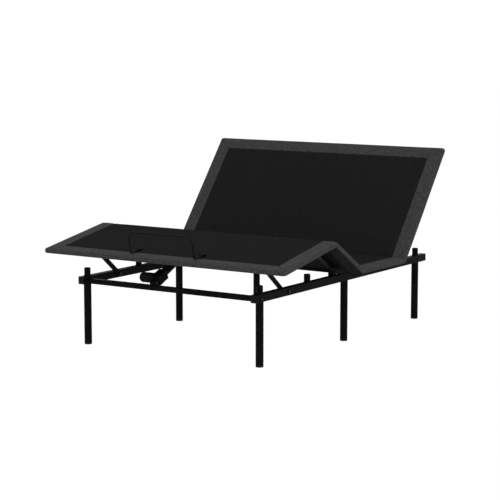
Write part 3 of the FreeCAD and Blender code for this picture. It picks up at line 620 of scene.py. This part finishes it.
def border_row(rim, side, backs):
    """One cross-section of the border by a mitre: its points and their cloth coordinates."""
    row, uv_row = [], []
    for number, (inset, depth) in enumerate(BORDER):
        back = backs[number]
        x, s = rim.point(inset * MM, side, back)
        move = border_swell(number, x, s) * min(1.0, back / SWELL_FADE)
        if number in EXPOSED:
            move += GROOVE * math.exp(-((back / GROOVE_WIDTH) ** 2))
        outward, downward = BORDER_NORMALS[number] * move
        if back > MITRE_SQUARE and side:
            x += outward
        elif back > MITRE_SQUARE:
            s += rim.out * outward
        row.append((x, s, depth * MM - downward))
        uv_row.append((s if side else x, BORDER_RUN[number]))
    return row, uv_row


def side_row(s, sign):
    """One cross-section of the border along a side, away from the ends."""
    row, uv_row = [], []
    for number, (inset, depth) in enumerate(BORDER):
        x = HALF_WIDTH - inset * MM
        outward, downward = BORDER_NORMALS[number] * border_swell(number, x, s)
        row.append(((x + outward) * sign, s, depth * MM - downward))
        uv_row.append((s, BORDER_RUN[number]))
    return row, uv_row


def make_border(name, rim, fold, spot):
    """Border roll of one span: round an end with two mitres, or along both sides only."""
    cloth = Cloth()
    stop = rim.end - rim.out * (TRANSITION if rim.free else 0.0)
    stations = [abs(value - rim.cut) for value in spaced(rim.cut, stop, 0.03, [spot])]
    if rim.free:
        side_backs = [rim.backs(point[0] * MM, True, stations) for point in BORDER]
        end_stations = spaced(0.0, HALF_WIDTH - TRANSITION, 0.03)
        end_backs = [rim.backs(point[0] * MM, False, end_stations) for point in BORDER]
        half = [border_row(rim, True, backs) for backs in zip(*side_backs)]
        half += [border_row(rim, False, backs) for backs in list(zip(*end_backs))[-2::-1]]
        rows = [row for row, _ in half]
        uv_rows = [uv_row for _, uv_row in half]
        rows += [[(-x, s, depth) for x, s, depth in row] for row in rows[-2::-1]]
        uv_rows += [[(-u, v) for u, v in uv_row] for uv_row in uv_rows[-2::-1]]
        cloth.grid(rows, uv_rows, close=True, caps=True, finish=BORDER_FINISH)
    else:
        for sign in (1, -1):
            strip = [side_row(rim.cut + rim.out * station, sign) for station in stations]
            rows = [row for row, _ in strip]
            uv_rows = [uv_row for _, uv_row in strip]
            cloth.grid(rows, uv_rows, close=True, caps=True, finish=BORDER_FINISH)
    # The underside strips take the darker copy of the band: painted shade.
    return cloth.build(name, fold, [BAND, SHADED_BAND])


def make_stitches(name, rim, fold):
    """Top-stitching on the border beside the seam."""
    cloth = Cloth()
    for side in (True, False) if rim.free else (True,):
        total = rim.lengths(STITCH_INSET, side)[0] if rim.free else rim.length
        along = (0.0, 1.0) if side else (1.0, 0.0)
        for k in range(int(total / STITCH_STEP)):
            reach = (k + 0.5) * STITCH_STEP
            if rim.free:
                x, s = rim.point(STITCH_INSET, side, reach)
            else:
                x, s = HALF_WIDTH - STITCH_INSET, rim.cut + rim.out * reach
            for sign in (1, -1):
                cloth.rod((x * sign, s, 0.0), along, STITCH_LENGTH, STITCH_RADIUS)
    return cloth.build(name, fold, [THREAD], sharp=70.0)


PANEL_OVERLAP = 81.0 * MM
# The dust cloth runs between the boards (17.0 mm down) and the rest post caps (17.5 mm down).
PANEL_BOTTOM = 17.25 * MM


def make_panel(name, rim, fold, spot):
    """Centre panel: the black cloth on top, its sides under the border, and dust cloth beneath."""
    cloth = Cloth()
    edge = end_inset(PANEL_OVERLAP) if rim.free else 0.0
    half = HALF_WIDTH - PANEL_OVERLAP
    close_in = np.array([0.0, 1.5, 3.0, 5.0, 8.0, 12.0, 18.0, 28.0]) * MM
    across = [*(half - close_in), *(close_in - half), *np.linspace(0.045 - half, half - 0.045, 37)]
    xs = sorted(set(np.round(across, 6)))
    last = rim.end - rim.out * edge
    body = spaced(rim.cut, last - rim.out * (0.04 if rim.free else 0.0), 0.032, [spot])
    ss = body + ([last - rim.out * value for value in close_in[::-1]] if rim.free else [])

    def top_depth(x, s):
        gap = half - abs(x)
        if rim.free:
            gap = min(gap, abs(last - s))
        rise = 2.3 * MM * math.exp(-((gap / 0.007) ** 2))
        crown = 0.9 * MM * (1 - math.exp(-((gap / 0.09) ** 2)))
        wave = 0.5 * MM * float(ripple(x * 0.8, s * 1.1)) * min(1.0, gap / 0.05)
        return 0.3 * MM + rise - crown + wave

    def under_depth(x, s):
        return PANEL_BOTTOM + 0.12 * MM * float(ripple(x, s * 0.9 + 3))

    n = len(xs)
    uv_rows = [[(x, s) for x in xs] for s in ss]
    cloth.grid([[(x, s, top_depth(x, s)) for x in xs] for s in ss], uv_rows)
    base = len(cloth.flat)
    cloth.grid([[(x, s, under_depth(x, s)) for x in xs] for s in ss], uv_rows, finish=1)
    loop = [(0, c) for c in range(n)] + [(r, n - 1) for r in range(1, len(ss))]
    loop += [(len(ss) - 1, c) for c in range(n - 2, -1, -1)] + [(r, 0) for r in range(len(ss) - 2, 0, -1)]
    for here, there in zip(loop, loop[1:] + loop[:1]):
        a = here[0] * n + here[1]
        b = there[0] * n + there[1]
        cloth.faces.append([a, b, base + b, base + a])
        cloth.uvs.append([(0.0, 0.0), (0.03, 0.0), (0.03, 0.017), (0.0, 0.017)])
        cloth.indices.append(1)
    return cloth.build(name, fold, [CENTRE, DUST])


PLANS = {
    "head": (Rim(SEAT_MIDDLE, HEAD_END, True), ("head_cover", "seat_cover")),
    "thigh": (Rim(SEAT_MIDDLE, THIGH_MIDDLE, False), ("seat_cover", "thigh_cover")),
    "knee": (Rim(THIGH_MIDDLE, FOOT_END, True), ("thigh_cover", "calf_cover")),
}
PIECE_NAMES = {"head": "head_end", "thigh": "middle", "knee": "foot_end"}
for key, (rim, nodes) in PLANS.items():
    label = PIECE_NAMES[key]
    border = make_border("border_" + label, rim, FOLDS[key], FOLD_SPOTS[key])
    panel = make_panel("panel_" + label, rim, FOLDS[key], FOLD_SPOTS[key])
    stitches = make_stitches("stitching_" + label, rim, FOLDS[key])
    for piece in (border, panel):
        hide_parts(*nodes)

# ---------------------------------------------------------------- small hardware


def circle(work, radius, height, count, shift=0.0):
    """Ring of vertices about local Z, or a single one on the axis."""
    if radius < 1e-6:
        return [work.verts.new((0.0, 0.0, height))]
    angles = [math.tau * (k + shift) / count for k in range(count)]
    return [work.verts.new((radius * math.cos(angle), radius * math.sin(angle), height)) for angle in angles]


def lathe(profile, segments=32):
    """Closed body of revolution about local Z, from (radius, height) points."""
    work = bmesh.new()
    rings = [circle(work, radius, height, segments) for radius, height in profile]
    pairs = list(zip(rings, rings[1:]))
    if len(rings[0]) > 1 and len(rings[-1]) > 1:
        pairs.append((rings[-1], rings[0]))
    for below, above in pairs:
        for k in range(segments):
            n = (k + 1) % segments
            lower = [below[k % len(below)], below[n % len(below)]]
            upper = [above[n % len(above)], above[k % len(above)]]
            corners = list(dict.fromkeys(lower + upper))
            if len(corners) > 2:
                work.faces.new(corners)
    return work


def weld_ring(radius, tube, ripples, depth, segments, sides):
    """Rippled weld bead about local Z."""
    work = bmesh.new()
    rows = []
    for k in range(segments):
        angle = math.tau * k / segments
        swell = tube * (1.0 + depth * math.sin(ripples * angle))
        row = []
        for m in range(sides):
            turn = math.tau * m / sides
            r = radius + swell * math.cos(turn)
            row.append(work.verts.new((r * math.cos(angle), r * math.sin(angle), swell * math.sin(turn))))
        rows.append(row)
    for a, b in zip(rows, rows[1:] + rows[:1]):
        for m in range(sides):
            n = (m + 1) % sides
            work.faces.new([a[m], b[m], b[n], a[n]])
    return work


def hexagon(radius, height, chamfer):
    """Hexagon head with chamfered ends, standing on local Z."""
    work = bmesh.new()
    foot = chamfer * 0.3
    profile = ((radius - foot, 0.0), (radius, foot), (radius, height - chamfer), (radius - chamfer, height))
    rings = [circle(work, r, z, 6, 0.5) for r, z in profile]
    for below, above in zip(rings, rings[1:]):
        for k in range(6):
            n = (k + 1) % 6
            work.faces.new([below[k], below[n], above[n], above[k]])
    work.faces.new(rings[0][::-1])
    work.faces.new(rings[-1])
    return work


def merged(name, items, material, body):
    """One piece from several bmesh shapes, each with its own placement, riding on one body."""
    mesh = bpy.data.meshes.new(name)
    whole = bmesh.new()
    for work, placement in items:
        part = bpy.data.meshes.new("part")
        work.to_mesh(part)
        part.transform(placement)
        whole.from_mesh(part)
        bpy.data.meshes.remove(part)
    smooth(whole, 38.0)
    whole.to_mesh(mesh)
    whole.free()
    mesh.materials.append(material)
    obj = placed(name, mesh)
    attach(obj, body)


def facing(spot, direction):
    """Placement with local Z along a direction."""
    return Matrix.Translation(Vector(spot)) @ Vector(direction).to_track_quat("Z", "Y").to_matrix().to_4x4()


# Weld beads where the rest posts stand on the rails.
RAIL_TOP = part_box("side_rail_right")[1].z
for side in ("left", "right"):
    posts = frame["nodes"]["rest_posts_" + side].data
    lines = sorted({round(vertex.co.y, 2) for vertex in posts.vertices})
    groups = []
    for line in lines:
        if groups and line - groups[-1][-1] < 0.05:
            groups[-1].append(line)
        else:
            groups.append([line])
    centres = []
    for group in groups:
        ys = [vertex.co.y for vertex in posts.vertices if group[0] - 0.01 <= vertex.co.y <= group[-1] + 0.01]
        centres.append((min(ys) + max(ys)) / 2)
    post_low, post_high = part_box("rest_posts_" + side)
    middle = (post_low.x + post_high.x) / 2
    radius = (post_high.x - post_low.x) / 2
    beads = []
    for y in centres:
        bead = weld_ring(radius + 0.0006, 0.0017, ripples=26, depth=0.16, segments=78, sides=8)
        beads.append((bead, Matrix.Translation((middle, y, RAIL_TOP + 0.0004))))
    merged("post_welds_" + side, beads, FRAME_STEEL, "base")


def section_place(pivot_point, angle, x, along, above, direction):
    """Placement in a section: along its deck from a fold, and above that fold's pivot."""
    turn = Matrix.Rotation(angle, 4, "X")
    spot = Vector(pivot_point) + turn @ Vector((0.0, along, above))
    spot.x = x
    return facing(spot, turn @ Vector(direction))


# Pan head with a recess, as (radius, height).
SCREW_HEAD = [
    (0.0, 0.0008), (0.0014, 0.0009), (0.0016, 0.0022), (0.0030, 0.0021), (0.0046, 0.0012), (0.0050, 0.0),
    (0.0, -0.0004),
]


def screw(place):
    return lathe(SCREW_HEAD, 20), place


# Side tubes under the boards: their distance from the middle and their lower face below the deck's top.
TUBE_X = 0.595
TUBE_BOTTOM = 0.042
CALF_ANGLE = KNEE_ANGLE - THIGH_ANGLE
# For each section: its fold, its slope, the deck's top above the fold, and where the screws lie along it.
SECTION_SCREWS = {
    "base": (HEAD_PIVOT, 0.0, FOLD_DEPTH, [-0.40, -0.2285, -0.06]),
    "head": (HEAD_PIVOT, HEAD_ANGLE, FOLD_DEPTH, [0.06, 0.22, 0.40, 0.60]),
    "thigh": (THIGH_PIVOT, -THIGH_ANGLE, FOLD_DEPTH, [-0.05, -0.16, -0.27]),
    "calf": (KNEE_PIVOT, CALF_ANGLE, KNEE_DEPTH, [-0.05, -0.20, -0.38]),
}
for body, (origin, angle, top, lines) in SECTION_SCREWS.items():
    heads = []
    for sign in (-1, 1):
        for along in lines:
            spot = sign * TUBE_X, along, top - TUBE_BOTTOM
            heads.append(screw(section_place(origin, angle, *spot, (0, 0, -1))))
    merged("board_screws_" + body, heads, OXIDE, body)

# Small screw cap in the foot edge of the deck.
CAP_PROFILE = [(0.0, 0.0026), (0.0030, 0.0024), (0.0046, 0.0014), (0.0052, 0.0), (0.0, -0.001)]
CAP_X = 0.586
CAP_BELOW_TOP = 0.0145
foot_edge = 0.0004 - flat_length("calf_cover", KNEE_PIVOT, CALF_ANGLE, -1)
cap_place = section_place(KNEE_PIVOT, CALF_ANGLE, CAP_X, foot_edge, KNEE_DEPTH - CAP_BELOW_TOP, (0, -1, 0))
merged("edge_screw_cap", [(lathe(CAP_PROFILE, 24), cap_place)], DULL, "calf")

# Actuators, each by its rear and front joint and the side its motor points to: collar at the tube's mouth,
# rings and bolts on the motor, screws and seam on the gearbox.
ACTUATORS = {
    "foot": ("foot_actuator_tilt", "foot_rod_pivot", 1),
    "head": ("head_actuator_tilt", "head_rod_pivot", -1),
}
GEAR_START, GEAR_LENGTH, GEAR_HALF, GEAR_HIGH = 0.018, 0.080, 0.025, 0.028
GEAR_DROP, GEAR_CORNER = 0.003, 0.008
MOTOR_LINE, MOTOR_RADIUS, MOTOR_LENGTH, MOTOR_DROP, MOTOR_BOLTS = 0.051, 0.027, 0.086, 0.008, 0.0145
TUBE_END, TUBE_RADIUS, BORE_RADIUS = 0.290, 0.022, 0.019
# Profiles as (radius, height).
COLLAR = [
    (BORE_RADIUS, -0.014), (BORE_RADIUS, 0.0062), (BORE_RADIUS + 0.0012, 0.0075), (0.0246, 0.0070),
    (0.0258, 0.0055), (0.0258, -0.010), (0.0250, -0.0125), (TUBE_RADIUS + 0.0002, -0.014),
]
CLAMP = [
    (MOTOR_RADIUS + extra, height) for extra, height in
    ((-0.001, 0.0), (0.0014, 0.0), (0.0022, 0.001), (0.0022, 0.006), (0.0014, 0.007), (-0.001, 0.0072))
]
END_BELL = [(0.0, 0.0040), (0.0060, 0.0040), (0.0072, 0.0028), (0.0074, -0.001), (0.0, -0.002)]
END_RING = [
    (0.0226, 0.0008), (0.0216, 0.0016), (0.0202, 0.0018), (0.0194, 0.0008), (0.0194, -0.001),
    (0.0226, -0.001),
]


def gearbox_seam():
    """Raised seam round the gearbox where its two halves meet."""
    seam = bmesh.new()
    section = [(-0.0014, -0.0006), (-0.0011, 0.0009), (0.0011, 0.0009), (0.0014, -0.0006)]
    rows = []
    for corner, (cy, cz) in enumerate(((1, 1), (-1, 1), (-1, -1), (1, -1))):
        for k in range(7):
            angle = math.pi / 2 * (corner + k / 6)
            ny, nz = math.cos(angle), math.sin(angle)
            y = GEAR_START + GEAR_LENGTH / 2 + cy * (GEAR_LENGTH / 2 - GEAR_CORNER) + GEAR_CORNER * ny
            z = cz * (GEAR_HIGH - GEAR_CORNER) + GEAR_CORNER * nz - GEAR_DROP
            rows.append([seam.verts.new((x, y + ny * r, z + nz * r)) for x, r in section])
    for row, following in zip(rows, rows[1:] + rows[:1]):
        for m in range(4):
            n = (m + 1) % 4
            seam.faces.new([row[m], row[n], following[n], following[m]])
    return seam


for end, (rear, front, turn) in ACTUATORS.items():
    body = end + "_actuator"
    axis = (pivot(front) - pivot(rear)).normalized()
    side = Vector((turn, 0.0, 0.0))
    place = Matrix.Translation(pivot(rear)) @ Matrix((side, axis, side.cross(axis))).transposed().to_4x4()
    mouth = place @ facing((0, TUBE_END - 0.004, 0), (0, 1, 0))
    merged(end + "_tube_collar", [(lathe(COLLAR, 48), mouth)], PLASTIC, body)
    outer = -GEAR_HALF - MOTOR_LENGTH
    motor_mouth = place @ facing((-GEAR_HALF + 0.0002, MOTOR_LINE, -MOTOR_DROP), (-1, 0, 0))
    motor_end = place @ facing((outer, MOTOR_LINE, -MOTOR_DROP), (-1, 0, 0))
    rings = [(lathe(CLAMP, 48), motor_mouth)]
    rings += [(lathe(END_BELL, 32), motor_end), (lathe(END_RING, 48), motor_end)]
    merged(end + "_motor_rings", rings, MOTOR, body)
    bolts = []
    for k in range(2):
        angle = math.pi * (k + 0.25)
        spot = (outer, MOTOR_LINE + MOTOR_BOLTS * math.cos(angle), MOTOR_BOLTS * math.sin(angle) - MOTOR_DROP)
        bolts.append((hexagon(0.0035, 0.0026, 0.0006), place @ facing(spot, (-1, 0, 0))))
    for along in (GEAR_START + 0.012, GEAR_START + GEAR_LENGTH - 0.012):
        for up in (-0.023, 0.017):
            bolts.append(screw(place @ facing((GEAR_HALF, along, up), (1, 0, 0))))
    merged(end + "_actuator_screws", bolts, OXIDE, body)
    merged(end + "_gearbox_seam", [(gearbox_seam(), place)], GEARBOX, body)

# Control box: lid screws and cooling ribs.
lid_low, lid_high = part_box("control_box")
screws = []
for x in (lid_low.x + 0.018, lid_high.x - 0.018):
    for y in (lid_low.y + 0.018, lid_high.y - 0.018):
        screws.append(screw(facing((x, y, lid_low.z), (0, 0, -1))))
merged("control_box_screws", screws, OXIDE, "base")
rib_y = (lid_low.y + lid_high.y) / 2
ribs = []
for k in range(7):
    rib = bmesh.new()
    bmesh.ops.create_cube(rib, size=1.0)
    bmesh.ops.scale(rib, verts=rib.verts, vec=(0.0026, 0.074, 0.0016))
    bmesh.ops.bevel(rib, geom=rib.edges, offset=0.0006, segments=2, affect="EDGES")
    ribs.append((rib, Matrix.Translation((-0.036 + 0.012 * k, rib_y, lid_low.z - 0.0002))))
merged("control_box_ribs", ribs, HOUSING, "base")

# ---------------------------------------------------------------- floor, light and camera

FLOOR_SIZE = 60.0
floor_mesh = bpy.data.meshes.new("floor")
half = FLOOR_SIZE / 2
corners = [(-half, -half, 0), (half, -half, 0), (half, half, 0), (-half, half, 0)]
floor_mesh.from_pydata(corners, [], [(0, 1, 2, 3)])
floor = placed("floor", floor_mesh)
# A lit white sweep: it glows evenly, so it carries no shadow.
glow = {"Roughness": 0.9, "Specular_IOR_Level": 0.0, "Emission_Strength": 1.0}
paper = Finish("floor_paper", (0.02, 0.02, 0.02), **glow)
grain = paper.noise(paper.place(), 3.0)
paper.feed("Emission Color", paper.mix(grain, (0.995, 0.995, 0.995), (1.0, 1.0, 1.0)))
floor_mesh.materials.append(paper.material)

world = bpy.data.worlds.new("studio")
bpy.context.scene.world = world
world.use_nodes = True
sky = world.node_tree.nodes["Background"]
sky.inputs["Color"].default_value = (1.0, 1.0, 1.0, 1.0)
sky.inputs["Strength"].default_value = 1.06


def aim(obj, spot, direction):
    obj.location = spot
    obj.rotation_mode = "QUATERNION"
    obj.rotation_quaternion = direction.to_track_quat("-Z", "Y")


CENTRE_POINT = Vector((0.0, 0.0, 0.5))


def area_light(name, spot, size, power):
    lamp = bpy.data.lights.new(name, "AREA")
    lamp.shape = "RECTANGLE"
    lamp.size, lamp.size_y = size
    lamp.energy = power
    aim(placed(name, lamp), spot, CENTRE_POINT - Vector(spot))


area_light("key", (5.2, -1.6, 3.4), (3.0, 3.0), 62.0)
area_light("fill", (-4.5, -3.5, 2.6), (3.0, 2.5), 26.0)
area_light("top", (0.0, 0.8, 5.0), (4.0, 4.0), 6.0)

AZIMUTH = math.radians(33.46)
ELEVATION = math.radians(7.85)
camera_data = bpy.data.cameras.new("camera")
camera_data.lens = 119.6
camera_data.sensor_width = 36.0
camera_data.clip_end = 200.0
camera = placed("camera", camera_data)
level = math.cos(ELEVATION)
view = Vector((-math.sin(AZIMUTH) * level, math.cos(AZIMUTH) * level, -math.sin(ELEVATION)))
aim(camera, (4.9657, -7.5915, 1.7021), view)
bpy.context.scene.camera = camera
bpy.context.scene.view_settings.view_transform = "Standard"
